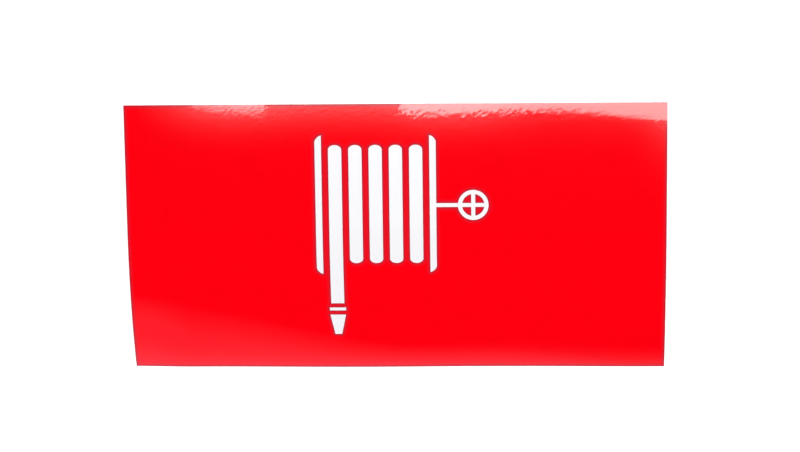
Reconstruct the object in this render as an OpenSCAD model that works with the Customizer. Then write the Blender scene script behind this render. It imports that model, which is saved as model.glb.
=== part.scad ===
// Fire hose reel sign: a self-adhesive film sheet on its release liner.
// Red ink covers the white film and leaves the hose reel symbol bare.
// The sheet has curled a little and rests on its two long edges, printed face up.
// Row frame: X runs along the sign's width, Y points to its top edge, Z is up,
// and the origin is the centre of the floor area that the sheet covers.

/* [Sheet] */
// Width of the sign
sign_w = 240; // [200:1:400]
// Height of the sign, measured along its printed face
sign_h = 125; // [115:1:160]

/* [Layers] */
// Thickness of the screen-printed red ink
ink_t = 0.02; // [0.01:0.01:0.06]
// Thickness of the white film with its adhesive coat
film_t = 0.10; // [0.06:0.01:0.4]
// Thickness of the siliconed paper liner under the adhesive
liner_t = 0.13; // [0.06:0.01:0.4]

/* [Curl] */
// Length of the sheet that stayed flat, from the top edge down
flat_len = 55; // [40:1:90]
// Radius of the printed face over the curled rest of the sheet
curl_r = 160; // [110:1:500]

/* [Reel] */
// Distance from the sign's left edge to the reel
reel_left = 84.3; // [10:0.1:130]
// Distance from the sign's top edge to the tips of the reel's flanges
reel_top = 13.9; // [4:0.1:20]
// Width of a flange
flange_w = 3.1; // [1:0.1:4]
// Height of a flange, from tip to tip
flange_h = 62.5; // [58:0.1:66]
// Number of hose turns on the reel
turn_count = 5; // [3:1:6]
// Width of a hose turn
turn_w = 6.1; // [4:0.1:8]
// Height of a hose turn, from end to end
turn_h = 53.9; // [44:0.1:57]
// Height of the rounded end of a hose turn
turn_cap = 2.2; // [1:0.1:4]
// Gap between neighbouring turns, and between a turn and a flange
turn_gap = 2.86; // [1:0.01:4]

/* [Hose tail] */
// Length of hose that hangs down below the first turn
tail_len = 19.4; // [8:0.1:21]
// Gap above and below the coupling ring
ring_gap = 1.85; // [0.5:0.05:2.5]
// Width of the coupling ring
ring_w = 7.5; // [5:0.1:10]
// Height of the coupling ring
ring_h = 1.7; // [0.5:0.1:2.5]
// Length of the nozzle
nozzle_len = 10.1; // [6:0.1:11]
// Width of the nozzle where it joins the coupling
nozzle_w = 7.3; // [5:0.1:10]
// Width of the nozzle's mouth
nozzle_mouth = 3.2; // [1:0.1:4.5]

/* [Valve] */
// Length of the valve rod between the reel and the hand wheel
rod_len = 9.4; // [4:0.1:15]
// Width of the valve rod
rod_w = 2.0; // [1:0.1:3]
// Outer radius of the hand wheel
wheel_r = 6.9; // [5:0.1:9]
// Width of the hand wheel's rim
rim_w = 2.05; // [1:0.05:2.5]
// Width of the hand wheel's spokes
spoke_w = 2.0; // [1:0.1:3]

/* [Hidden] */
$fn = 96;

// Flat strips along the curl, steps on a rounded outline, and how far a cut runs past the sheet
curl_strips = 20;
arc_steps = 16;
past = 1;

// Depth of each layer's lower side below the printed face
print_depth = ink_t;
film_depth = print_depth + film_t;
sheet_depth = film_depth + liner_t;

// The curled stretch turns through this angle
curl_deg = (sign_h - flat_len) / curl_r * 180 / PI;

// Chord of the liner's underside between the two edges that touch the floor
back_r = curl_r - sheet_depth;
chord_run = flat_len + back_r * sin(curl_deg);
chord_drop = back_r * (1 - cos(curl_deg));
chord = sqrt(chord_run * chord_run + chord_drop * chord_drop);

// Slope of the flat stretch once both edges are down, and the floor length it all covers
rest_deg = atan2(chord_drop, chord_run);
floor_len = sheet_depth * sin(rest_deg) + chord + sheet_depth * sin(curl_deg - rest_deg);

// Places on the sign: u runs from its left edge, v down its face from the top edge
turn_pitch = turn_w + turn_gap;
turns_left = reel_left + flange_w + turn_gap;
turns_w = turn_count * turn_pitch - turn_gap;
right_flange = turns_left + turns_w + turn_gap;
reel_right = right_flange + flange_w;
reel_mid = reel_top + flange_h / 2;
turns_top = reel_mid - turn_h / 2;
turns_bottom = reel_mid + turn_h / 2;
tail_u = turns_left + turn_w / 2;
tail_end = turns_bottom + tail_len;
ring_top = tail_end + ring_gap;
nozzle_top = ring_top + ring_h + ring_gap;
nozzle_end = nozzle_top + nozzle_len;
wheel_u = reel_right + rod_len + wheel_r;

// Where a place on the face lies when the sheet is seen square to its flat stretch
function plan_x(u) = u - sign_w / 2;
function plan_y(v) =
    v <= flat_len ? -v : -flat_len - curl_r * sin((v - flat_len) / curl_r * 180 / PI);
function plan(u, v) = [plan_x(u), plan_y(v)];

// A rounded outline about (u, v), from one bearing to another, counted clockwise from the right
function bend(u, v, half_w, half_h, from, to) = [
    for (i = [0 : arc_steps])
        let (a = from + (to - from) * i / arc_steps)
            plan(u + half_w * cos(a), v + half_h * sin(a))
];

// A point of the sheet's side profile on the curl, by how far round it lies and its depth
function on_curl(share, depth) =
    let (bearing = curl_deg * share, r = curl_r - depth)
        [-flat_len - r * sin(bearing), -curl_r + r * cos(bearing)];

// One layer of the sheet, between two depths below the printed face. The curl is cut into
// narrow flat strips, which lie parallel in every layer, so that neighbours touch all over.
module layer(upper, lower) {
    rotate([90, 0, 90])
        linear_extrude(height = sign_w, center = true)
            polygon(concat(
                [[0, -lower], [0, -upper]],
                [for (i = [0 : curl_strips]) on_curl(i / curl_strips, upper)],
                [for (i = [curl_strips : -1 : 0]) on_curl(i / curl_strips, lower)]
            ));
}

// Lays the sheet on the floor, on both long edges, centred over the origin
module at_rest() {
    translate([0, floor_len / 2, sheet_depth * cos(rest_deg)])
        rotate([-rest_deg, 0, 0])
            children();
}

// A straight-sided field of the symbol
module field(left, right, top, bottom) {
    polygon([plan(left, top), plan(right, top), plan(right, bottom), plan(left, bottom)]);
}

// A hose turn, round at both ends
module hose_turn(left) {
    mid = left + turn_w / 2;
    polygon(concat(
        bend(mid, turns_top + turn_cap, turn_w / 2, turn_cap, 180, 360),
        bend(mid, turns_bottom - turn_cap, turn_w / 2, turn_cap, 0, 180)
    ));
}

// The first turn, which runs on down to the coupling
module hose_tail() {
    polygon(concat(
        bend(tail_u, turns_top + turn_cap, turn_w / 2, turn_cap, 180, 360),
        [plan(tail_u + turn_w / 2, tail_end), plan(tail_u - turn_w / 2, tail_end)]
    ));
}

// Coupling ring and tapered nozzle under the tail
module coupling_and_nozzle() {
    field(tail_u - ring_w / 2, tail_u + ring_w / 2, ring_top, ring_top + ring_h);
    polygon([
        plan(tail_u - nozzle_w / 2, nozzle_top),
        plan(tail_u + nozzle_w / 2, nozzle_top),
        plan(tail_u + nozzle_mouth / 2, nozzle_end),
        plan(tail_u - nozzle_mouth / 2, nozzle_end)
    ]);
}

// A flange: straight towards the hose, with its two outer corners rounded right across
module flange(inner, outer) {
    width = outer - inner;
    polygon(concat(
        bend(inner, reel_top + flange_w, width, flange_w, -90, 0),
        bend(inner, reel_top + flange_h - flange_w, width, flange_w, 0, 90)
    ));
}

// Rod and four-spoked hand wheel of the valve
module valve() {
    field(reel_right - flange_w / 2, wheel_u - wheel_r + rim_w, reel_mid - rod_w / 2, reel_mid + rod_w / 2);
    translate(plan(wheel_u, reel_mid)) {
        difference() {
            circle(r = wheel_r);
            circle(r = wheel_r - rim_w);
        }
        square([2 * wheel_r - rim_w, spoke_w], center = true);
        square([spoke_w, 2 * wheel_r - rim_w], center = true);
    }
}

// The whole symbol in plan
module hose_reel_symbol() {
    hose_tail();
    for (i = [1 : turn_count - 1])
        hose_turn(turns_left + i * turn_pitch);
    coupling_and_nozzle();
    flange(reel_left + flange_w, reel_left);
    flange(right_flange, reel_right);
    valve();
}

// Red ink, open wherever the symbol shows the film
module red_print() {
    color([0.99, 0.0, 0.03])
        at_rest()
            difference() {
                layer(0, print_depth);
                translate([0, 0, -sign_h])
                    linear_extrude(height = sign_h + past)
                        hose_reel_symbol();
            }
}

// White film, with the adhesive on its back
module white_film() {
    color([0.98, 0.98, 0.99])
        at_rest()
            layer(print_depth, film_depth);
}

// Liner that covers the adhesive until the sign is put up
module release_liner() {
    color([0.93, 0.91, 0.86])
        at_rest()
            layer(film_depth, sheet_depth);
}

red_print();
white_film();
release_liner();
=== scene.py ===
"""Fire hose reel sign: red ink on white film with its liner, curled and lying face up."""
import logging
import math
from dataclasses import dataclass, field, fields
from enum import Enum
from typing import Iterable, Union

import bpy
from mathutils import Matrix, Vector
from mathutils.geometry import delaunay_2d_cdt
from mathutils.kdtree import KDTree


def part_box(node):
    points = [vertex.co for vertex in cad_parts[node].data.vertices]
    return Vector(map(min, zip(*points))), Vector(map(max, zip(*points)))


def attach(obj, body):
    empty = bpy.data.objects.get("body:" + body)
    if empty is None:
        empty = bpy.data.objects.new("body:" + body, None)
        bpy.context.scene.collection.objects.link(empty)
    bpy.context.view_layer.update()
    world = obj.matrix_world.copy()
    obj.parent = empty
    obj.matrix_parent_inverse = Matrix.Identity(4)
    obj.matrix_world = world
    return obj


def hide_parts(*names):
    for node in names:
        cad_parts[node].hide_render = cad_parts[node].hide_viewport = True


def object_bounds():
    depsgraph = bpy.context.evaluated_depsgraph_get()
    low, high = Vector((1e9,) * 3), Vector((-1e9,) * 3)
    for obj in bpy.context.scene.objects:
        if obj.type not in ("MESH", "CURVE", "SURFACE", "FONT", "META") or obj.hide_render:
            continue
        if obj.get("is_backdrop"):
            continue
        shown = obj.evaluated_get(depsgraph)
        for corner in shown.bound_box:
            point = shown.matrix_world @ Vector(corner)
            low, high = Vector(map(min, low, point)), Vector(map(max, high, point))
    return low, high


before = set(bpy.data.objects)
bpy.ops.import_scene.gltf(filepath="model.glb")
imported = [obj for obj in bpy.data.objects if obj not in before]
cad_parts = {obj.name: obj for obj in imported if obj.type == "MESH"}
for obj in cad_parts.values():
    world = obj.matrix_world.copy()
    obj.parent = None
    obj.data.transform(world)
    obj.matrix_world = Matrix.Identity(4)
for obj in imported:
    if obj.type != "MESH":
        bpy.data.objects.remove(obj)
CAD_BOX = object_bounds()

log = logging.getLogger("hose_reel_sign")

MM = 0.001
WHOLE_BODY = "root"
WHITE = (1.0, 1.0, 1.0, 1.0)

# Width in pixels of the image that the camera's lens is worked out for
PHOTO_WIDTH = 800

# Mesh attribute that says how near a place is to an edge of the print, and so where the ink gets
# its painted edge shade
RIM = "rim"

# Blender's names for the two kinds of node that the sums below are made of
SUM = "ShaderNodeMath"
SHARE = "ShaderNodeMapRange"

# Numbers of a Mix node's sockets where it blends colours
MIX_SHARE, MIX_FIRST, MIX_SECOND, MIX_RESULT = 0, 6, 7, 2

Point = tuple[float, float]
Outline = list[Point]
Feed = Union[bpy.types.Node, bpy.types.NodeSocket, bpy.types.Material, float, int, tuple]
Feeds = Union[dict[Union[str, int], Feed], tuple[Feed, ...]]


def linear(hex_colour: str) -> tuple[float, float, float, float]:
    """Turn an sRGB hex value into the linear colour that shaders work with.

    Args:
        hex_colour: Six hex digits, red first.

    Returns:
        Linear red, green and blue, with full alpha.
    """
    channels = [int(hex_colour[i:i + 2], 16) / 255 for i in (0, 2, 4)]
    red, green, blue = (
        c / 12.92 if c <= 0.04045 else ((c + 0.055) / 1.055) ** 2.4 for c in channels
    )
    return (red, green, blue, 1.0)


def feed(tree: bpy.types.NodeTree, node: bpy.types.Node, feeds: Feeds) -> None:
    """Feed a node's inputs.

    Args:
        tree: Tree that the node is in.
        node: Node to feed.
        feeds: What each input gets, by its name or number or in order: a value to set, or a
            socket to link. A node stands for its first output.
    """
    for name, value in feeds.items() if isinstance(feeds, dict) else enumerate(feeds):
        source = value.outputs[0] if isinstance(value, bpy.types.Node) else value
        if isinstance(source, bpy.types.NodeSocket):
            tree.links.new(source, node.inputs[name])
        else:
            node.inputs[name].default_value = source


def add_node(
    tree: bpy.types.NodeTree, kind: str, feeds: Feeds = (), **settings: object
) -> bpy.types.Node:
    """Add a node, set its options and feed its inputs.

    Args:
        tree: Tree that gets the node.
        kind: Blender's name for the type of node.
        feeds: What its inputs get, as in feed.
        **settings: Options of the node itself.

    Returns:
        The new node.
    """
    node = tree.nodes.new(kind)
    for option, value in settings.items():
        setattr(node, option, value)
    feed(tree, node, feeds)
    return node


class Socket(Enum):
    """Types of input that the node trees of this file take."""

    GEOMETRY = "NodeSocketGeometry"
    LENGTH = "NodeSocketFloat"
    COUNT = "NodeSocketInt"
    PLACE = "NodeSocketVector"
    FINISH = "NodeSocketMaterial"


class ShapeTree:
    """A Geometry Nodes tree with named inputs, and the way to bake it into a plain mesh."""

    def __init__(self, name: str, inputs: dict[str, Socket]) -> None:
        """Make the tree with its group input.

        Args:
            name: Name of the tree.
            inputs: Type of each named input after the geometry.
        """
        self.tree = bpy.data.node_groups.new(name, "GeometryNodeTree")
        self.identifiers: dict[str, str] = {}
        for label, socket in {"Geometry": Socket.GEOMETRY, **inputs}.items():
            item = self.tree.interface.new_socket(label, in_out="INPUT", socket_type=socket.value)
            self.identifiers[label] = item.identifier
        self.tree.interface.new_socket(
            "Geometry", in_out="OUTPUT", socket_type=Socket.GEOMETRY.value
        )
        self.given = self.node("NodeGroupInput").outputs

    def node(self, kind: str, feeds: Feeds = (), **settings: object) -> bpy.types.Node:
        """Add a node to this tree, as add_node does."""
        return add_node(self.tree, kind, feeds, **settings)

    def finish(self, geometry: Feed) -> None:
        """End the tree with real geometry in one material.

        Args:
            geometry: Node or socket that gives the finished shape.
        """
        real = self.node("GeometryNodeRealizeInstances", {"Geometry": geometry})
        dressed = self.node(
            "GeometryNodeSetMaterial", {"Geometry": real, "Material": self.given["Finish"]}
        )
        self.node("NodeGroupOutput", {"Geometry": dressed})

    def bake(self, mesh: bpy.types.Mesh, values: dict[str, Feed]) -> bpy.types.Mesh:
        """Run the tree on a mesh and keep the result.

        Args:
            mesh: Mesh that the tree starts from. It is deleted afterwards.
            values: Value for each named input.

        Returns:
            The shaped mesh, with nothing live left on it.
        """
        carrier = bpy.data.objects.new("carrier", mesh)
        bpy.context.scene.collection.objects.link(carrier)
        modifier = carrier.modifiers.new("shape", "NODES")
        modifier.node_group = self.tree
        for label, value in values.items():
            modifier[self.identifiers[label]] = value
        evaluated = carrier.evaluated_get(bpy.context.evaluated_depsgraph_get())
        result = bpy.data.meshes.new_from_object(evaluated)
        carrier.modifiers.remove(modifier)
        bpy.data.objects.remove(carrier)
        bpy.data.meshes.remove(mesh)
        return result


@dataclass(frozen=True)
class SheetProfile:
    """Size of the cut sheet, its three layers and the curl that it has taken."""

    width: float = 240 * MM
    height: float = 125 * MM
    ink: float = 0.02 * MM
    film: float = 0.10 * MM
    liner: float = 0.13 * MM
    # The sheet is flat over this length from its top edge down, and curled below it
    flat_length: float = 55 * MM
    curl_radius: float = 160 * MM
    cad_strips: int = 20

    @property
    def depth(self) -> float:
        """Thickness of all three layers."""
        return self.ink + self.film + self.liner

    @property
    def curl_angle(self) -> float:
        """Angle that the curled stretch turns through."""
        return (self.height - self.flat_length) / self.curl_radius

    @property
    def strip_bulge(self) -> float:
        """Height of the smooth curl over the flat strips that stand in for it in the CAD."""
        strip = (self.height - self.flat_length) / self.cad_strips
        return strip ** 2 / (8 * self.curl_radius)

    @property
    def chord(self) -> Vector:
        """Run and drop between the two underside edges that touch the floor.

        Returns:
            The run along the flat stretch, then the drop square to it.
        """
        back_radius = self.curl_radius - self.depth
        run = self.flat_length + back_radius * math.sin(self.curl_angle)
        return Vector((run, back_radius * (1 - math.cos(self.curl_angle))))

    @property
    def rest_slope(self) -> float:
        """Slope of the flat stretch once both edges are down."""
        return math.atan2(self.chord.y, self.chord.x)

    @property
    def floor_length(self) -> float:
        """Length of floor that the resting sheet covers."""
        overhang = math.sin(self.rest_slope) + math.sin(self.curl_angle - self.rest_slope)
        return self.chord.length + self.depth * overhang

    def spot(self, across: float, down: float) -> Point:
        """Place on the flat layout, from distances to the sheet's left and top edges."""
        return (across - self.width / 2, -down)


@dataclass(frozen=True)
class Waves:
    """Small departures from the even curl, seen as bends in the sheet's edges and gloss.

    Crests and corners are placed across the sheet from its middle. The lift raises the bottom
    edge off the floor, and the lip is a ripple that starts at the top edge.
    """

    lift_height: float = 1.25 * MM
    lift_swell: float = 0.35 * MM
    lift_crest: float = -19 * MM
    lift_length: float = 134 * MM
    lift_start: float = 88 * MM
    corner_reach: float = 26 * MM
    lip_slope: float = 0.0007
    lip_length: float = 90 * MM
    lip_crest: float = 20 * MM
    corner_slope: float = 0.0065
    corner_start: float = 62 * MM
    corner_end: float = 120 * MM
    top_reach: float = 60 * MM

    def inputs(self) -> dict[str, float]:
        """The sizes under the names of the curl tree's inputs, such as Lift Height."""
        names = (size.name for size in fields(self))
        return {name.replace("_", " ").title(): getattr(self, name) for name in names}


class CurlTree(ShapeTree):
    """Bends a flat layer round the curl, lays it on the floor and adds its waves."""

    # Powers by which the ripple steepens towards the right corner and dies out down the sheet
    CORNER_POWER = 3.0
    FADE_POWER = 2.0

    def __init__(self, waves: Waves) -> None:
        """Build the tree.

        Args:
            waves: Waves of the sheet. Each of their sizes becomes an input.
        """
        sizes = ("Flat Length", "Curl Radius", "Sheet Width", "Sheet Height", "Rest Turn", "Settle")
        lengths = {label: Socket.LENGTH for label in (*sizes, *waves.inputs())}
        super().__init__(
            "curl_and_rest", {**lengths, "Rest Place": Socket.PLACE, "Finish": Socket.FINISH}
        )
        place = self.node("GeometryNodeInputPosition")
        flat = self.node("ShaderNodeSeparateXYZ", {"Vector": place}).outputs
        down = self.node(SUM, (flat["Y"], -1.0), operation="MULTIPLY")
        turned = self.node("ShaderNodeVectorRotate", {
            "Vector": self.bent(flat, down), "Angle": self.given["Rest Turn"],
        }, rotation_type="X_AXIS")
        rested = self.node(
            "ShaderNodeVectorMath", (turned, self.given["Rest Place"]), operation="ADD"
        )
        lying = self.node("ShaderNodeSeparateXYZ", {"Vector": rested}).outputs
        added = self.node(
            SUM, (self.lift(flat["X"], down), self.lip(flat["X"], down)), operation="ADD"
        )
        height = self.node(
            SUM, (lying["Z"], self.given["Settle"], added), operation="MULTIPLY_ADD"
        )
        final = self.node("ShaderNodeCombineXYZ", (lying["X"], lying["Y"], height))
        self.finish(self.node("GeometryNodeSetPosition", {
            "Geometry": self.given["Geometry"], "Position": final,
        }))

    def bent(self, flat: bpy.types.bpy_prop_collection, down: Feed) -> bpy.types.Node:
        """Wrap the stretch below the flat length round the curl's axis.

        Args:
            flat: Outputs with the place on the flat layout.
            down: Distance from the top edge.

        Returns:
            Node with the bent place.
        """
        length, radius = self.given["Flat Length"], self.given["Curl Radius"]
        below_flat = self.node(SUM, (down, length), operation="SUBTRACT")
        wrapped = self.node(SUM, (below_flat, 0.0), operation="MAXIMUM")
        angle = self.node(SUM, (wrapped, radius), operation="DIVIDE")
        start = self.node(SUM, (length, -1.0), operation="MULTIPLY")
        depth = self.node(SUM, (radius, -1.0), operation="MULTIPLY")
        held = self.node(SUM, (flat["Y"], start), operation="MAXIMUM")
        before = self.node("ShaderNodeCombineXYZ", (flat["X"], held, flat["Z"]))
        axis = self.node("ShaderNodeCombineXYZ", (0.0, start, depth))
        return self.node("ShaderNodeVectorRotate", {
            "Vector": before, "Center": axis, "Angle": angle,
        }, rotation_type="X_AXIS")

    def swing(self, across: Feed, crest: Feed, length: Feed) -> bpy.types.Node:
        """Cosine wave along the sheet's width.

        Args:
            across: Distance from the sheet's middle.
            crest: Where the wave is highest.
            length: Distance between two crests.

        Returns:
            Node with the wave, from -1 to 1.
        """
        from_crest = self.node(SUM, (across, crest), operation="SUBTRACT")
        turns = self.node(SUM, (from_crest, length), operation="DIVIDE")
        angle = self.node(SUM, (turns, math.tau), operation="MULTIPLY")
        return self.node(SUM, (angle,), operation="COSINE")

    def lift(self, across: Feed, down: Feed) -> bpy.types.Node:
        """Height by which the bottom edge clears the floor, apart from its left corner.

        Args:
            across: Distance from the sheet's middle, to the right.
            down: Distance from its top edge.

        Returns:
            Node with the added height.
        """
        wave = self.swing(across, self.given["Lift Crest"], self.given["Lift Length"])
        height = self.node(
            SUM, (wave, self.given["Lift Swell"], self.given["Lift Height"]),
            operation="MULTIPLY_ADD",
        )
        from_left = self.node(
            SUM, (self.given["Sheet Width"], 0.5, across), operation="MULTIPLY_ADD"
        )
        corner = self.node(SHARE, {
            "Value": from_left, "From Max": self.given["Corner Reach"],
        }, interpolation_type="SMOOTHSTEP")
        edge = self.node(SHARE, {
            "Value": down, "From Min": self.given["Lift Start"],
            "From Max": self.given["Sheet Height"],
        }, interpolation_type="SMOOTHSTEP")
        off_corner = self.node(SUM, (height, corner), operation="MULTIPLY")
        return self.node(SUM, (off_corner, edge), operation="MULTIPLY")

    def lip(self, across: Feed, down: Feed) -> bpy.types.Node:
        """Height of the ripple below the top edge, which grows towards the right corner.

        Args:
            across: Distance from the sheet's middle, to the right.
            down: Distance from its top edge.

        Returns:
            Node with the added height.
        """
        wave = self.swing(across, self.given["Lip Crest"], self.given["Lip Length"])
        corner = self.node(SHARE, {
            "Value": across, "From Min": self.given["Corner Start"],
            "From Max": self.given["Corner End"],
        })
        steep = self.node(SUM, (corner, self.CORNER_POWER), operation="POWER")
        bend = self.node(SUM, (steep, self.given["Corner Slope"]), operation="MULTIPLY")
        slope = self.node(SUM, (wave, self.given["Lip Slope"], bend), operation="MULTIPLY_ADD")
        past = self.node(SHARE, {"Value": down, "From Max": self.given["Top Reach"]})
        left = self.node(SUM, (1.0, past), operation="SUBTRACT")
        fade = self.node(SUM, (left, self.FADE_POWER), operation="POWER")
        run = self.node(SUM, (down, fade), operation="MULTIPLY")
        return self.node(SUM, (slope, run), operation="MULTIPLY")


class RepeatTree(ShapeTree):
    """Repeats one outline along a line, round a pivot, or both."""

    def __init__(self) -> None:
        """Build the tree."""
        super().__init__("repeat_outline", {
            "Count": Socket.COUNT, "First Place": Socket.PLACE, "Step": Socket.PLACE,
            "Turn": Socket.LENGTH, "Finish": Socket.FINISH,
        })
        line = self.node("GeometryNodeMeshLine", {
            "Count": self.given["Count"], "Start Location": self.given["First Place"],
            "Offset": self.given["Step"],
        }, mode="OFFSET")
        index = self.node("GeometryNodeInputIndex")
        turn = self.node(SUM, (index, self.given["Turn"]), operation="MULTIPLY")
        around = self.node("ShaderNodeCombineXYZ", {"Z": turn})
        self.finish(self.node("GeometryNodeInstanceOnPoints", {
            "Points": line, "Instance": self.given["Geometry"], "Rotation": around,
        }))


@dataclass(frozen=True)
class HoseReelSymbol:
    """Hose reel with its hanging hose, nozzle and hand wheel, as outlines on the flat layout."""

    sheet: SheetProfile
    reel_left: float = 84.3 * MM
    reel_top: float = 13.9 * MM
    flange_w: float = 3.1 * MM
    flange_h: float = 62.5 * MM
    turn_count: int = 5
    turn_w: float = 6.1 * MM
    turn_h: float = 53.9 * MM
    turn_cap: float = 2.2 * MM
    turn_gap: float = 2.86 * MM
    tail_length: float = 19.4 * MM
    ring_gap: float = 1.85 * MM
    ring_w: float = 7.5 * MM
    ring_h: float = 1.7 * MM
    nozzle_length: float = 10.1 * MM
    nozzle_w: float = 7.3 * MM
    nozzle_mouth: float = 3.2 * MM
    rod_length: float = 9.4 * MM
    rod_w: float = 2.0 * MM
    wheel_radius: float = 6.9 * MM
    rim_w: float = 2.05 * MM
    spoke_w: float = 2.0 * MM
    # How far the rod and hand wheel sit below the reel's middle
    valve_drop: float = 0.4 * MM
    # Bend of the flanges' outer corners, as in arc
    corner_power: float = 1.2
    # How much further down the left flange runs
    left_foot: float = 0.7 * MM
    # How far the ink runs past the stencil's edge all round
    ink_spread: float = 0.12 * MM
    spokes: int = 4
    arc_steps: int = 16
    wheel_steps: int = 96

    @property
    def turns_left(self) -> float:
        """Left side of the first hose turn."""
        return self.reel_left + self.flange_w + self.turn_gap

    @property
    def turn_pitch(self) -> float:
        """Distance from one hose turn to the next."""
        return self.turn_w + self.turn_gap

    @property
    def right_flange(self) -> float:
        """Inner side of the right flange."""
        return self.turns_left + self.turn_count * self.turn_pitch

    @property
    def reel_middle(self) -> float:
        """Height of the reel's middle, down from the sheet's top edge."""
        return self.reel_top + self.flange_h / 2

    @property
    def tail_middle(self) -> float:
        """Middle of the first turn and of all that hangs from it."""
        return self.turns_left + self.turn_w / 2

    @property
    def hub(self) -> Point:
        """Centre of the hand wheel.

        Returns:
            Its place on the flat layout.
        """
        reel_right = self.right_flange + self.flange_w
        across = reel_right + self.rod_length + self.wheel_radius
        return self.sheet.spot(across, self.reel_middle + self.valve_drop)

    def arc(
        self, centre: Point, half: Point, start: float, end: float, steps: int, power: float = 1.0
    ) -> Outline:
        """Round stretch of an outline.

        Args:
            centre: Centre of the ellipse.
            half: Half its width and half its height.
            start: First bearing in degrees, anticlockwise from the right.
            end: Last bearing.
            steps: Number of straight steps.
            power: 1 for an ellipse, and more for a flatter bend, up to a chamfer at 2.

        Returns:
            Points from the first bearing to the last.
        """
        bearings = (math.radians(start + (end - start) * i / steps) for i in range(steps + 1))
        turned = ((math.cos(b), math.sin(b)) for b in bearings)
        return [
            tuple(c + h * math.copysign(abs(t) ** power, t) for c, h, t in zip(centre, half, pair))
            for pair in turned
        ]

    def block(self, left: float, right: float, top: float, bottom: float) -> Outline:
        """Straight-sided field, from distances to the sheet's left and top edges."""
        corners = ((left, bottom), (right, bottom), (right, top), (left, top))
        return [self.sheet.spot(*corner) for corner in corners]

    def hose_turn(self) -> Outline:
        """One hose turn about its own centre, round at both ends.

        Returns:
            Its outline, anticlockwise, as all the symbol's outlines run.
        """
        half = (self.turn_w / 2, self.turn_cap)
        straight = self.turn_h / 2 - self.turn_cap
        return (
            self.arc((0, straight), half, 0, 180, self.arc_steps)
            + self.arc((0, -straight), half, 180, 360, self.arc_steps)
        )

    def hanging_hose(self) -> Outline:
        """First turn, which runs on down to the coupling.

        Returns:
            Its outline.
        """
        top = self.reel_middle - self.turn_h / 2 + self.turn_cap
        end = self.reel_middle + self.turn_h / 2 + self.tail_length
        half = self.turn_w / 2
        spot = self.sheet.spot
        cap = self.arc(spot(self.tail_middle, top), (half, self.turn_cap), 0, 180, self.arc_steps)
        return cap + [spot(self.tail_middle - half, end), spot(self.tail_middle + half, end)]

    def coupling(self) -> list[Outline]:
        """Coupling ring, and the nozzle that tapers to its mouth.

        Returns:
            The outlines of both.
        """
        ring_top = self.reel_middle + self.turn_h / 2 + self.tail_length + self.ring_gap
        ring_bottom = ring_top + self.ring_h
        nozzle_top = ring_bottom + self.ring_gap
        middle = self.tail_middle
        ring = self.block(middle - self.ring_w / 2, middle + self.ring_w / 2, ring_top, ring_bottom)
        mouth = nozzle_top + self.nozzle_length
        nozzle = (
            (middle - self.nozzle_mouth / 2, mouth), (middle + self.nozzle_mouth / 2, mouth),
            (middle + self.nozzle_w / 2, nozzle_top), (middle - self.nozzle_w / 2, nozzle_top),
        )
        return [ring, [self.sheet.spot(*corner) for corner in nozzle]]

    def flange(self, inner: float, side: int, foot: float = 0.0) -> Outline:
        """Flange with its two outer corners rounded right across.

        Args:
            inner: Distance from the sheet's left edge to the side that faces the hose.
            side: 1 for the right flange, -1 for the left one.
            foot: How much further down it runs than the flange's height.

        Returns:
            The flange's outline.
        """
        width = self.flange_w
        low = self.sheet.spot(inner, self.reel_top + self.flange_h + foot - width)
        high = self.sheet.spot(inner, self.reel_top + width)
        outline = (
            self.arc(low, (side * width, width), -90, 0, self.arc_steps, self.corner_power)
            + self.arc(high, (side * width, width), 0, 90, self.arc_steps, self.corner_power)
        )
        return outline if side > 0 else outline[::-1]

    def rod(self) -> Outline:
        """Rod from the right flange into the hand wheel's rim.

        Returns:
            Its outline.
        """
        left = self.right_flange + self.flange_w / 2
        right = self.hub[0] + self.sheet.width / 2 - self.wheel_radius + self.rim_w / 2
        middle = self.reel_middle + self.valve_drop
        return self.block(left, right, middle - self.rod_w / 2, middle + self.rod_w / 2)

    def wheel_disc(self) -> Outline:
        """Outer edge of the hand wheel."""
        half = (self.wheel_radius, self.wheel_radius)
        return self.arc(self.hub, half, 0, 360, self.wheel_steps)[:-1]

    def wheel_window(self) -> Outline:
        """Gap between two spokes and the rim, which the print fills.

        Returns:
            Its outline, about the hub.
        """
        inner = self.wheel_radius - self.rim_w
        corner = self.spoke_w / 2
        first = math.degrees(math.asin(corner / inner))
        steps = self.wheel_steps // self.spokes
        return [(corner, corner)] + self.arc((0, 0), (inner, inner), first, 90 - first, steps)


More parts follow.
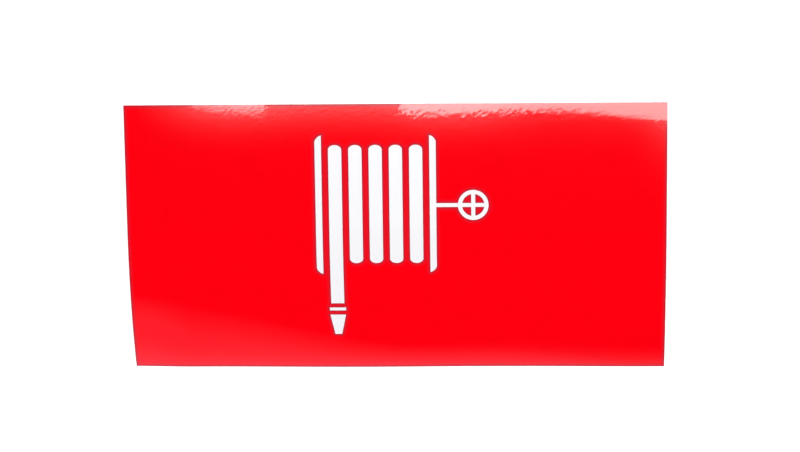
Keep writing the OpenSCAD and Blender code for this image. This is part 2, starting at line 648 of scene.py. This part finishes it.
class Stencil:
    """The bare fields and the red islands of the print, as outlines on the flat layout."""

    def __init__(self, symbol: HoseReelSymbol) -> None:
        """Draw the single fields, and repeat the ones that repeat.

        Args:
            symbol: Sizes and outlines of the symbol.
        """
        repeat = RepeatTree()
        flange_in = symbol.reel_left + symbol.flange_w
        second_turn = symbol.sheet.spot(symbol.tail_middle + symbol.turn_pitch, symbol.reel_middle)
        openings = [
            symbol.hanging_hose(),
            *symbol.coupling(),
            symbol.flange(flange_in, -1, symbol.left_foot),
            symbol.flange(symbol.right_flange, 1),
            symbol.rod(),
            symbol.wheel_disc(),
            *self.repeated(repeat, symbol.hose_turn(), {
                "Count": symbol.turn_count - 1, "First Place": (*second_turn, 0.0),
                "Step": (symbol.turn_pitch, 0.0, 0.0), "Turn": 0.0,
            }),
        ]
        windows = self.repeated(repeat, symbol.wheel_window(), {
            "Count": symbol.spokes, "First Place": (*symbol.hub, 0.0),
            "Step": (0.0, 0.0, 0.0), "Turn": math.tau / symbol.spokes,
        })
        self.bare = [offset(outline, -symbol.ink_spread) for outline in openings]
        self.islands = [offset(outline, symbol.ink_spread) for outline in windows]

    @staticmethod
    def repeated(tree: RepeatTree, outline: Outline, values: dict[str, Feed]) -> list[Outline]:
        """Repeat an outline with the tree.

        Args:
            tree: Tree that makes the copies.
            outline: One outline about its own centre.
            values: Inputs of the tree.

        Returns:
            The outline of each copy.
        """
        mesh = bpy.data.meshes.new("outline")
        mesh.from_pydata([(x, y, 0.0) for x, y in outline], [], [range(len(outline))])
        baked = tree.bake(mesh, values)
        copies = [
            [tuple(baked.vertices[v].co.xy) for v in polygon.vertices] for polygon in baked.polygons
        ]
        bpy.data.meshes.remove(baked)
        return copies


def offset(outline: Outline, distance: float) -> Outline:
    """Move an outline sideways.

    Args:
        outline: Points, anticlockwise.
        distance: How far outwards, or inwards where it is negative.

    Returns:
        The moved points, each in the middle of the directions that its two sides face. A sharp
        corner moves by twice the distance at most.
    """
    least_cosine = 0.5
    count = len(outline)
    moved = []
    for i, here in enumerate(outline):
        before = Vector(here) - Vector(outline[i - 1])
        after = Vector(outline[(i + 1) % count]) - Vector(here)
        first = Vector((before.y, -before.x)).normalized()
        second = Vector((after.y, -after.x)).normalized()
        middle = (first + second).normalized()
        reach = distance / max(middle.dot(first), least_cosine)
        moved.append(tuple(Vector(here) + middle * reach))
    return moved


@dataclass
class FlatLayout:
    """The sheet's plan cut into small cells, with the stencil's outlines among their edges."""

    sheet: SheetProfile
    stencil: Stencil
    cell_across: float = 2.5 * MM
    cell_down: float = 1.25 * MM
    # Distances from the edges of the print at which more cell edges follow them
    rim_loops: tuple[float, ...] = (1.2 * MM, 2.2 * MM)
    merge_distance: float = 0.001 * MM
    points: list[Vector] = field(init=False)
    printed: list[list[int]] = field(init=False)

    def __post_init__(self) -> None:
        """Cut the plan and keep the cells that carry ink."""
        points: list[Point] = []
        edges: list[tuple[int, int]] = []
        for start, end in self.grid_lines():
            edges.append((len(points), len(points) + 1))
            points += [start, end]
        faces = []
        for outline in self.stencil.bare + self.stencil.islands:
            faces.append(list(range(len(points), len(points) + len(outline))))
            points += outline
        for outline in self.beside():
            first = len(points)
            edges += [(first + i, first + (i + 1) % len(outline)) for i in range(len(outline))]
            points += outline
        # Kind of cut that adds edges until each cell is a valid face
        valid_faces = 4
        self.points, _, cells, _, _, sources = delaunay_2d_cdt(
            [Vector(p) for p in points], edges, faces, valid_faces, self.merge_distance
        )
        bare_fields = len(self.stencil.bare)
        # A cell carries ink where no field covers it, or where an island does
        self.printed = [
            list(cell) for cell, inside in zip(cells, sources)
            if not inside or any(number >= bare_fields for number in inside)
        ]

    @property
    def grid(self) -> tuple[int, int]:
        """Number of cells across the sheet and down it."""
        return (
            round(self.sheet.width / self.cell_across), round(self.sheet.height / self.cell_down)
        )

    def beside(self) -> Iterable[Outline]:
        """Outlines beside the edges of the print, so that its rim gets corners of its own.

        Returns:
            The outlines, one by one.
        """
        for distance in self.rim_loops:
            for outline in self.stencil.bare:
                yield offset(outline, distance)
        for outline in self.stencil.islands:
            yield offset(outline, -self.rim_loops[0])

    def grid_lines(self) -> Iterable[tuple[Point, Point]]:
        """Lines of the grid, the sheet's four edges among them.

        Returns:
            The two ends of each line.
        """
        columns, rows = self.grid
        for i in range(columns + 1):
            across = self.sheet.width * i / columns
            yield self.sheet.spot(across, 0), self.sheet.spot(across, self.sheet.height)
        for i in range(rows + 1):
            down = self.sheet.height * i / rows
            yield self.sheet.spot(0, down), self.sheet.spot(self.sheet.width, down)
        for distance in self.rim_loops:
            for across in (distance, self.sheet.width - distance):
                yield self.sheet.spot(across, 0), self.sheet.spot(across, self.sheet.height)

    def plain(self) -> tuple[list[Vector], list[list[int]]]:
        """Grid of the whole sheet without the stencil.

        Returns:
            Points and cells.
        """
        columns, rows = self.grid
        points = [
            Vector(self.sheet.spot(self.sheet.width * i / columns, self.sheet.height * j / rows))
            for j in range(rows + 1) for i in range(columns + 1)
        ]
        across = columns + 1
        cells = [
            [k + across, k + across + 1, k + 1, k]
            for j in range(rows) for k in range(j * across, j * across + columns)
        ]
        return points, cells


def thicken(
    points: list[Vector], cells: list[list[int]], upper: float, lower: float
) -> bpy.types.Mesh:
    """Make a closed solid from flat cells.

    Args:
        points: Places on the flat layout.
        cells: Corners of each cell, anticlockwise.
        upper: Depth of the layer's upper side below the printed face.
        lower: Depth of its lower side.

    Returns:
        The layer's mesh, still flat.
    """
    used = sorted({corner for cell in cells for corner in cell})
    top = {corner: number for number, corner in enumerate(used)}
    below = len(used)
    corners = [(points[c].x, points[c].y, -upper) for c in used]
    corners += [(points[c].x, points[c].y, -lower) for c in used]
    faces = [[top[c] for c in cell] for cell in cells]
    walked = {(a, b) for face in faces for a, b in zip(face, face[1:] + face[:1])}
    rim = sorted((a, b) for a, b in walked if (b, a) not in walked)
    walls = [[a + below, b + below, b, a] for a, b in rim]
    undersides = [[c + below for c in reversed(face)] for face in faces]
    mesh = bpy.data.meshes.new("layer")
    mesh.from_pydata(corners, [], faces + undersides + walls)
    return mesh


def mark_rim(mesh: bpy.types.Mesh, reach: float) -> None:
    """Store for each corner of a flat layer how near it is to an edge of the layer.

    Args:
        mesh: The layer. Its attribute is 1 on an edge and falls evenly to 0.
        reach: Distance from an edge at which it is 0.
    """
    samples_in_reach = 15
    step = reach / samples_in_reach
    # Walls are upright and all other faces lie flat, so half is a safe border between them
    level = 0.5
    samples: list[Vector] = []
    for wall in (face for face in mesh.polygons if abs(face.normal.z) < level):
        start, end = (mesh.vertices[wall.vertices[i]].co.to_2d() for i in (0, 1))
        count = max(1, math.ceil((end - start).length / step))
        samples += [start.lerp(end, i / count).to_3d() for i in range(count)]
    nearby = KDTree(len(samples))
    for number, sample in enumerate(samples):
        nearby.insert(sample, number)
    nearby.balance()
    rim = mesh.attributes.new(RIM, "FLOAT", "POINT")
    for vertex, entry in zip(mesh.vertices, rim.data):
        distance = nearby.find(vertex.co.to_2d().to_3d())[2]
        entry.value = max(0.0, 1.0 - distance / reach)


class Surface:
    """A new material and the node tree that its pattern is made in."""

    def __init__(self, name: str) -> None:
        """Make the material.

        Args:
            name: Name of the material.
        """
        self.material = bpy.data.materials.new(name)
        self.material.use_nodes = True

    def node(self, kind: str, feeds: Feeds = (), **settings: object) -> bpy.types.Node:
        """Add a node to the material's tree, as add_node does."""
        return add_node(self.material.node_tree, kind, feeds, **settings)

    def dress(self, feeds: Feeds) -> bpy.types.Material:
        """Feed the material's shader.

        Args:
            feeds: What its inputs get, as in feed.

        Returns:
            The finished material.
        """
        tree = self.material.node_tree
        feed(tree, tree.nodes["Principled BSDF"], feeds)
        return self.material


@dataclass(frozen=True)
class GlossInk:
    """Solvent screen ink under a poured gloss varnish.

    The varnish levels out into a wet-looking skin, so lamps show in it with crisp edges.
    The ink's own surface below it is duller and puts a short haze round each reflection.
    Along the stencil and the cut edges a deeper red rim is painted on, as painted shade.
    """

    colour: str = "F3000F"
    thin_colour: str = "EE000E"
    rim_colour: str = "AC2234"
    # How fast the painted shade along the edge dies out away from it
    rim_power: float = 1.6
    # Size of the soft clouds in which the ink lies thick and thin, and where they begin and end
    mottle: float = 9 * MM
    mottle_range: tuple[float, float] = (0.35, 0.62)
    ink_roughness: float = 0.075
    ink_ior: float = 1.5
    ink_specular: float = 0.075
    varnish_roughness: float = 0.013
    varnish_ior: float = 1.5
    # Orange peel of the varnish, at its real size: strokes that slant, in degrees, and are
    # longer than wide
    peel: float = 1.15 * MM
    peel_height: float = 0.0043 * MM
    peel_slant: float = 48.0
    peel_stretch: float = 2.0

    def material(self) -> bpy.types.Material:
        """Build the node material.

        Returns:
            The finished material.
        """
        surface = Surface("gloss_screen_ink")
        place = surface.node("ShaderNodeTexCoord").outputs["Object"]
        clouds = surface.node("ShaderNodeTexNoise", {
            "Vector": place, "Scale": 1 / self.mottle, "Detail": 3.0, "Roughness": 0.55,
        })
        tint = surface.node("ShaderNodeValToRGB", {"Fac": clouds.outputs["Fac"]})
        tones = zip(self.mottle_range, (self.thin_colour, self.colour))
        for stop, (position, tone) in zip(tint.color_ramp.elements, tones):
            stop.position, stop.color = position, linear(tone)
        # Painted shade: the ink is darkened towards a deeper red near every edge of the print
        nearness = surface.node("ShaderNodeAttribute", attribute_name=RIM).outputs["Fac"]
        painted_edge_shade = surface.node(SUM, (nearness, self.rim_power), operation="POWER")
        coloured = surface.node("ShaderNodeMix", {
            MIX_SHARE: painted_edge_shade, MIX_FIRST: tint, MIX_SECOND: linear(self.rim_colour),
        }, data_type="RGBA").outputs[MIX_RESULT]
        strokes = surface.node("ShaderNodeMapping", {
            "Vector": place, "Rotation": (0.0, 0.0, math.radians(self.peel_slant)),
            "Scale": (self.peel_stretch, 1.0, 1.0),
        }, vector_type="TEXTURE")
        peel = surface.node("ShaderNodeTexNoise", {
            "Vector": strokes, "Scale": 1 / self.peel, "Detail": 1.0, "Roughness": 0.4,
        })
        bump = surface.node("ShaderNodeBump", {
            "Height": peel.outputs["Fac"], "Strength": 1.0, "Distance": self.peel_height,
        })
        return surface.dress({
            "Base Color": coloured,
            "Normal": bump,
            "Coat Normal": bump,
            "Roughness": self.ink_roughness,
            "IOR": self.ink_ior,
            "Specular IOR Level": self.ink_specular,
            "Coat Weight": 1.0,
            "Coat Roughness": self.varnish_roughness,
            "Coat IOR": self.varnish_ior,
        })


@dataclass(frozen=True)
class SoftVinyl:
    """Calendered soft PVC film, white all through, with a smooth satin gloss."""

    colour: str = "E8E7E9"
    shade: str = "E5E4E6"
    mottle: float = 14 * MM
    roughness: float = 0.22
    ior: float = 1.53
    # The rollers leave a grain of some 0.05 mm. It is drawn as coarse as it needs to show.
    grain: float = 1.2 * MM
    grain_height: float = 0.001 * MM

    def material(self) -> bpy.types.Material:
        """Build the node material.

        Returns:
            The finished material.
        """
        surface = Surface("calendered_white_vinyl")
        place = surface.node("ShaderNodeTexCoord").outputs["Object"]
        clouds = surface.node("ShaderNodeTexNoise", {
            "Vector": place, "Scale": 1 / self.mottle, "Detail": 2.0,
        })
        tint = surface.node("ShaderNodeValToRGB", {"Fac": clouds.outputs["Fac"]})
        for stop, tone in zip(tint.color_ramp.elements, (self.shade, self.colour)):
            stop.color = linear(tone)
        grain = surface.node("ShaderNodeTexNoise", {
            "Vector": place, "Scale": 1 / self.grain, "Detail": 2.0,
        })
        bump = surface.node("ShaderNodeBump", {
            "Height": grain.outputs["Fac"], "Strength": 1.0, "Distance": self.grain_height,
        })
        return surface.dress({
            "Base Color": tint, "Normal": bump, "Roughness": self.roughness, "IOR": self.ior,
        })


@dataclass(frozen=True)
class LinerPaper:
    """Calendered kraft paper, siliconed on the side that the adhesive lies on.

    Pressed fibres give its back a cloudy tone, short darker threads and a dull sheen.
    """

    colour: str = "E9E4D6"
    cloud: str = "DFD8C6"
    thread: str = "CFC5AE"
    cloud_size: float = 5 * MM
    cloud_range: tuple[float, float] = (0.3, 0.7)
    # Kraft fibres are some 0.03 mm wide. They are drawn as coarse as they need to show.
    fibre_w: float = 0.35 * MM
    fibre_stretch: float = 7.0
    fibre_range: tuple[float, float] = (0.62, 0.72)
    roughness: float = 0.55
    ior: float = 1.47
    # The tooth that they leave is drawn coarser for the same reason
    tooth: float = 0.5 * MM
    tooth_height: float = 0.012 * MM

    def material(self) -> bpy.types.Material:
        """Build the node material.

        Returns:
            The finished material.
        """
        surface = Surface("siliconed_kraft_liner")
        place = surface.node("ShaderNodeTexCoord").outputs["Object"]
        clouds = surface.node("ShaderNodeTexNoise", {
            "Vector": place, "Scale": 1 / self.cloud_size, "Detail": 4.0, "Roughness": 0.6,
        })
        base = surface.node("ShaderNodeValToRGB", {"Fac": clouds.outputs["Fac"]})
        tones = zip(self.cloud_range, (self.cloud, self.colour))
        for stop, (position, tone) in zip(base.color_ramp.elements, tones):
            stop.position, stop.color = position, linear(tone)
        along = surface.node("ShaderNodeMapping", {
            "Vector": place, "Scale": (1.0, self.fibre_stretch, 1.0),
        })
        fibres = surface.node("ShaderNodeTexNoise", {
            "Vector": along, "Scale": 1 / (self.fibre_w * self.fibre_stretch), "Detail": 2.0,
            "Distortion": 0.6,
        })
        seen = surface.node("ShaderNodeValToRGB", {"Fac": fibres.outputs["Fac"]})
        for stop, position in zip(seen.color_ramp.elements, self.fibre_range):
            stop.position = position
        mixed = surface.node("ShaderNodeMix", {
            MIX_SHARE: seen, MIX_FIRST: base, MIX_SECOND: linear(self.thread),
        }, data_type="RGBA").outputs[MIX_RESULT]
        tooth = surface.node("ShaderNodeTexNoise", {
            "Vector": along, "Scale": 1 / (self.tooth * self.fibre_stretch), "Detail": 3.0,
        })
        bump = surface.node("ShaderNodeBump", {
            "Height": tooth.outputs["Fac"], "Strength": 1.0, "Distance": self.tooth_height,
        })
        return surface.dress({
            "Base Color": mixed, "Normal": bump, "Roughness": self.roughness, "IOR": self.ior,
        })


@dataclass(frozen=True)
class BacklitAcrylic:
    """Cast white acrylic with a matt face, lit from below so that shadows on it stay faint."""

    colour: str = "F9F9F9"
    glow: float = 0.22
    roughness: float = 0.9
    specular: float = 0.1

    def material(self) -> bpy.types.Material:
        """Build the node material.

        Returns:
            The finished material.
        """
        return Surface("backlit_white_acrylic").dress({
            "Base Color": linear(self.colour), "Roughness": self.roughness,
            "Specular IOR Level": self.specular, "Emission Color": WHITE,
            "Emission Strength": self.glow,
        })


@dataclass
class Sign:
    """The whole sign: red print, white film and liner, each a layer of one curled sheet."""

    sheet: SheetProfile
    waves: Waves
    layout: FlatLayout
    # Faces that meet at a larger angle than this keep a sharp edge between them
    crease: float = math.radians(30)

    def __post_init__(self) -> None:
        """Build the tree that curls every layer."""
        self.curl = CurlTree(self.waves)

    def placing(self, finish: bpy.types.Material) -> dict[str, Feed]:
        """Inputs of the curl tree for this sheet.

        Args:
            finish: Material of the layer.

        Returns:
            A value for each named input.
        """
        lay_down = self.sheet.depth * math.cos(self.sheet.rest_slope)
        # The smooth curl is settled by its bulge over the CAD's flat strips, to stay in its box
        cad_top = CAD_BOX[1][2]
        return {
            "Flat Length": self.sheet.flat_length,
            "Curl Radius": self.sheet.curl_radius,
            "Sheet Width": self.sheet.width,
            "Sheet Height": self.sheet.height,
            "Settle": 1 - self.sheet.strip_bulge / cad_top,
            **self.waves.inputs(),
            "Rest Turn": -self.sheet.rest_slope,
            "Rest Place": (0.0, self.sheet.floor_length / 2, lay_down),
            "Finish": finish,
        }

    def layer(
        self, name: str, node: str, slot: str, flat: bpy.types.Mesh, finish: bpy.types.Material
    ) -> bpy.types.Object:
        """Curl one layer and put it in the CAD node's place.

        Args:
            name: Name of the piece.
            node: CAD node that it replaces.
            slot: Material slot of the record; not used.
            flat: The layer's mesh on the flat layout.
            finish: Its material.

        Returns:
            The finished piece.
        """
        mesh = self.curl.bake(flat, self.placing(finish))
        mesh.name = name
        mesh.shade_smooth()
        mesh.set_sharp_from_angle(angle=self.crease)
        piece = bpy.data.objects.new(name, mesh)
        bpy.context.scene.collection.objects.link(piece)
        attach(piece, WHOLE_BODY)
        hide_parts(node)
        low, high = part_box(node)
        log.info("%s: %d faces, node box %s to %s", name, len(mesh.polygons), low, high)
        return piece

    def red_print(self) -> bpy.types.Object:
        """Red ink, open over the symbol.

        Returns:
            The finished piece.
        """
        flat = thicken(self.layout.points, self.layout.printed, 0.0, self.sheet.ink)
        # The nearness to the edges places the ink's painted edge shade
        mark_rim(flat, self.layout.rim_loops[-1])
        return self.layer("red_ink", "red_print", "red_ink", flat, GlossInk().material())

    def white_film(self) -> bpy.types.Object:
        """White film under the ink.

        Returns:
            The finished piece.
        """
        top = self.sheet.ink
        flat = thicken(*self.layout.plain(), top, top + self.sheet.film)
        return self.layer("vinyl_film", "white_film", "white_vinyl", flat, SoftVinyl().material())

    def release_liner(self) -> bpy.types.Object:
        """Paper liner at the back.

        Returns:
            The finished piece.
        """
        top = self.sheet.ink + self.sheet.film
        flat = thicken(*self.layout.plain(), top, self.sheet.depth)
        finish = LinerPaper().material()
        return self.layer("paper_liner", "release_liner", "liner_paper", flat, finish)


@dataclass(frozen=True)
class Softbox:
    """Rectangular lamp behind cloth, even all over or darker towards its upper edge and sides."""

    name: str
    centre: tuple[float, float, float]
    size: tuple[float, float]
    radiance: float
    # The way that it shines, and its turn about that axis in degrees
    facing: tuple[float, float, float] = (0.0, 0.0, -1.0)
    roll: float = 0.0
    colour: str = "FFFFFF"
    # Share of its height that fades out, by this power, and share of its width at each side
    fade: float = 0.0
    falloff: float = 1.0
    side_fade: float = 0.0

    def build(self) -> bpy.types.Object:
        """Make the lamp, put it in its place and turn it.

        Returns:
            The lamp's object.
        """
        lamp = bpy.data.lights.new(self.name, "AREA")
        lamp.shape = "RECTANGLE"
        lamp.size, lamp.size_y = self.size
        lamp.color = linear(self.colour)[:3]
        lamp.energy = self.radiance * math.pi * self.size[0] * self.size[1]
        if self.fade or self.side_fade:
            self.fade_out(lamp)
        placed = bpy.data.objects.new(self.name, lamp)
        aim = Vector(self.facing).to_track_quat("-Z", "Y").to_matrix()
        turn = Matrix.Rotation(math.radians(self.roll), 3, "Z")
        placed.matrix_world = Matrix.Translation(self.centre) @ (aim @ turn).to_4x4()
        bpy.context.scene.collection.objects.link(placed)
        return placed

    def fade_out(self, lamp: bpy.types.Light) -> None:
        """Let the lamp's cloth grow dark towards its upper edge and its sides.

        Args:
            lamp: Lamp that gets the nodes.
        """
        # Ends a fade just past the edge, so that a fade of no width still has a start and an end
        past_edge = 0.0001
        lamp.use_nodes = True
        tree = lamp.node_tree
        cloth = add_node(tree, "ShaderNodeNewGeometry").outputs["Parametric"]
        place = add_node(tree, "ShaderNodeSeparateXYZ", {"Vector": cloth}).outputs
        off = add_node(tree, SUM, (place["X"], 0.5), operation="SUBTRACT")
        from_middle = add_node(tree, SUM, (off,), operation="ABSOLUTE")
        side = add_node(tree, SHARE, {
            "Value": from_middle, "From Min": 0.5 - self.side_fade, "From Max": 0.5 + past_edge,
            "To Min": 1.0, "To Max": 0.0,
        }, interpolation_type="SMOOTHSTEP")
        level = add_node(tree, SHARE, {
            "Value": place["Y"], "From Min": 1.0 - self.fade, "From Max": 1.0 + past_edge,
            "To Min": 1.0, "To Max": 0.0,
        })
        eased = add_node(tree, SUM, (level, self.falloff), operation="POWER")
        both = add_node(tree, SUM, (eased, side), operation="MULTIPLY")
        feed(tree, tree.nodes["Emission"], {"Strength": both})


@dataclass(frozen=True)
class Studio:
    """Pale floor with a low cove, soft lamps, and the camera that looks down on the sign."""

    floor_radius: float = 3.0
    floor_sides: int = 96
    cove_height: float = 1.0
    cove_radius: float = 0.5
    cove_steps: int = 12
    room_light: float = 0.008
    camera_place: tuple[float, float, float] = (0.05355, 0.38907, 1.14467)
    camera_aim: tuple[float, float, float] = (0.00177, 0.00668, 0.00500)
    # Turn of the picture in degrees
    camera_roll: float = -0.24
    focal_pixels: float = 2703.5
    sensor_width: float = 36.0
    # The varnish mirrors the four overhead lamps as the pale bands at the sign's top edge and
    # their haze, the card as the glow at its lower left, and the strip as the one along its
    # bottom edge. The wings light the ink and the film evenly.
    lamps: tuple[Softbox, ...] = (
        Softbox("overhead_right", (0.126, 0.207, 1.2), (0.35, 0.39), 8.6),
        Softbox(
            "overhead_left", (-0.1825, 0.2122, 1.2), (0.073, 0.4), 9.2,
            fade=0.03, roll=174, side_fade=0.12,
        ),
        Softbox(
            "overhead_spill", (-0.1, -0.028, 1.21), (0.385, 0.1), 3.4,
            fade=1.0, falloff=10.5, roll=180, side_fade=0.25,
        ),
        Softbox(
            "overhead_right_spill", (0.25, -0.058, 1.21), (0.2, 0.14), 5.0,
            fade=1.0, falloff=6.0, roll=180, side_fade=0.5,
        ),
        Softbox("left_wing", (-0.85, 0.1, 1.2), (0.8, 1.6), 3.68),
        Softbox("right_wing", (0.85, 0.1, 1.2), (0.8, 1.6), 3.68),
        Softbox(
            "dim_card", (-0.39, -1.0, 1.04), (1.7, 0.65), 0.37,
            facing=(0.0, 1.0, 0.0), roll=-63, colour="E8E0FF", fade=0.3,
        ),
        Softbox(
            "low_strip", (0.0, -1.03, 0.65), (1.4, 1.0), 0.95,
            facing=(0.0, 1.0, 0.0), colour="E8E0FF", fade=0.6, falloff=2.5,
        ),
    )

    def backdrop(self) -> bpy.types.Object:
        """Round floor whose rim sweeps up into a low wall.

        Returns:
            The floor's object.
        """
        corner = self.floor_radius - self.cove_radius
        quarter = [i * math.pi / 2 / self.cove_steps for i in range(self.cove_steps + 1)]
        profile = [
            (corner + self.cove_radius * math.sin(a), self.cove_radius * (1 - math.cos(a)))
            for a in quarter
        ]
        profile.append((self.floor_radius, self.cove_height))
        around = self.floor_sides
        points = [
            (r * math.cos(math.tau * i / around), r * math.sin(math.tau * i / around), z)
            for r, z in profile for i in range(around)
        ]
        faces: list[list[int]] = [list(range(around))]
        for ring in range(len(profile) - 1):
            low = ring * around
            faces += [
                [low + i, low + around + i, low + around + (i + 1) % around, low + (i + 1) % around]
                for i in range(around)
            ]
        mesh = bpy.data.meshes.new("floor")
        mesh.from_pydata(points, [], faces)
        mesh.shade_smooth()
        mesh.materials.append(BacklitAcrylic().material())
        floor = bpy.data.objects.new("floor", mesh)
        bpy.context.scene.collection.objects.link(floor)
        floor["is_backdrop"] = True
        return floor

    def camera(self) -> bpy.types.Object:
        """Camera with the photo's viewing angle.

        Returns:
            The camera's object.
        """
        place = Vector(self.camera_place)
        back = (place - Vector(self.camera_aim)).normalized()
        roll = math.radians(self.camera_roll)
        level = Vector((math.cos(roll), math.sin(roll), 0.0))
        right = (level - back * level.dot(back)).normalized()
        turned = Matrix((right, back.cross(right), back)).transposed()
        lens = bpy.data.cameras.new("camera")
        lens.sensor_width = self.sensor_width
        lens.lens = self.focal_pixels * self.sensor_width / PHOTO_WIDTH
        camera = bpy.data.objects.new("camera", lens)
        camera.matrix_world = Matrix.Translation(place) @ turned.to_4x4()
        bpy.context.scene.collection.objects.link(camera)
        bpy.context.scene.camera = camera
        return camera

    def build(self) -> None:
        """Set up the whole studio."""
        world = bpy.data.worlds.new("room")
        world.use_nodes = True
        background = world.node_tree.nodes["Background"]
        feed(world.node_tree, background, {"Color": WHITE, "Strength": self.room_light})
        bpy.context.scene.world = world
        self.backdrop()
        for lamp in self.lamps:
            lamp.build()
        self.camera()
        bpy.context.scene.view_settings.view_transform = "Standard"


def main() -> None:
    """Dress the sign, set up the studio and work out the model's bounds."""
    logging.basicConfig(level=logging.INFO, format="%(name)s: %(message)s")
    Studio().build()
    sheet = SheetProfile()
    layout = FlatLayout(sheet, Stencil(HoseReelSymbol(sheet)))
    sign = Sign(sheet, Waves(), layout)
    for piece in (sign.red_print(), sign.white_film(), sign.release_liner()):
        log.info("%s is in place", piece.name)
    boxes = {"cad": CAD_BOX, "visual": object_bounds()}
    {name: [list(corner) for corner in box] for name, box in boxes.items()}


if __name__ == "__main__":
    main()
